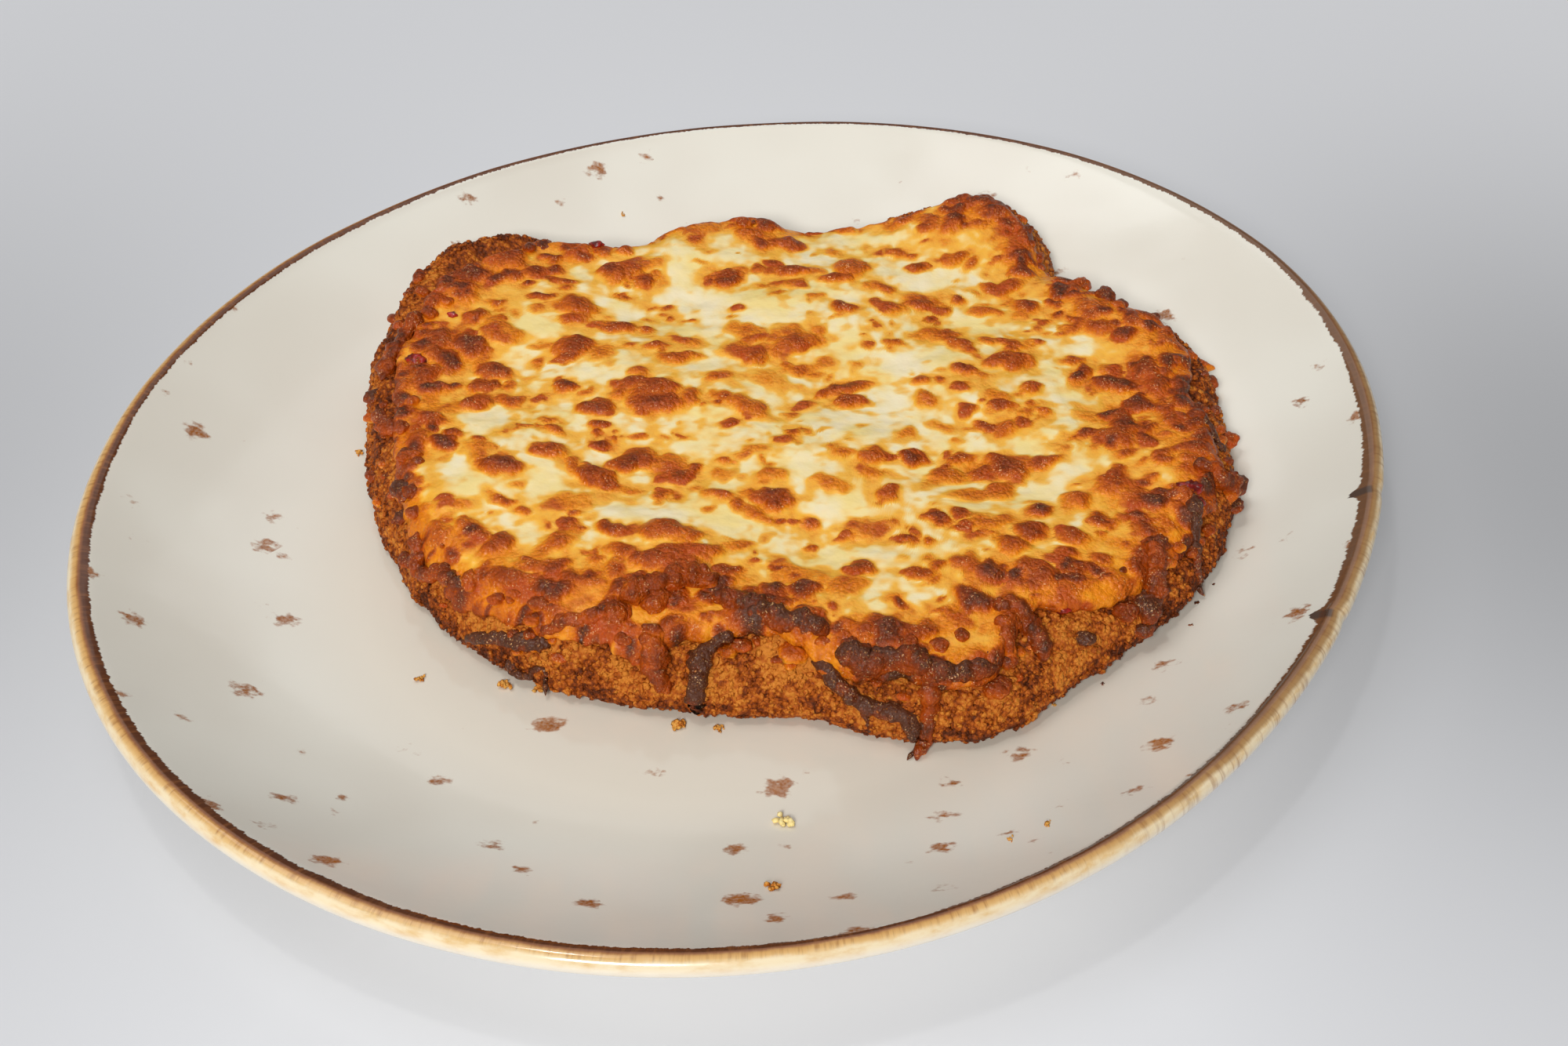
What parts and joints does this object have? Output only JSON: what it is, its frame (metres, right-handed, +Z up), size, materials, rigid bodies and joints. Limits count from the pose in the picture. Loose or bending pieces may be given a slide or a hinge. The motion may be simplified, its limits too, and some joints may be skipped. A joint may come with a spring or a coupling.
{
  "type": "cheese-topped breaded schnitzel on a plate",
  "caption": "Breaded schnitzel under browned melted cheese, lying on an uneven round speckled stoneware coupe plate with a brown edge band.",
  "frame": {"origin": "On the table under the middle of the plate's outline, which is the bottom centre of the whole.", "axes": "+Z up from the table. +X to the diner's right and +Y away from the diner, with the food set towards +X and +Y on the plate."},
  "size_m": [0.2724, 0.2672, 0.0276],
  "materials": {
    "glaze": "glossy warm off-white glaze with small taupe speckles, and a dark brown fringe that fades through amber to cream on the lip",
    "breading": "coarse fried crumb coating, orange-brown and darker towards the bottom and at the tips",
    "cheese": "oily melted cheese, cream between golden haloes and brown toasted blisters, with a dark brown edge",
    "sauce": "thin baked tomato sauce that glints between the cheese and the crumb coating"
  },
  "bodies": {
    "root": {"plate": "glaze", "cutlet": "breading", "cheese": "cheese"}
  },
  "joints": []
}
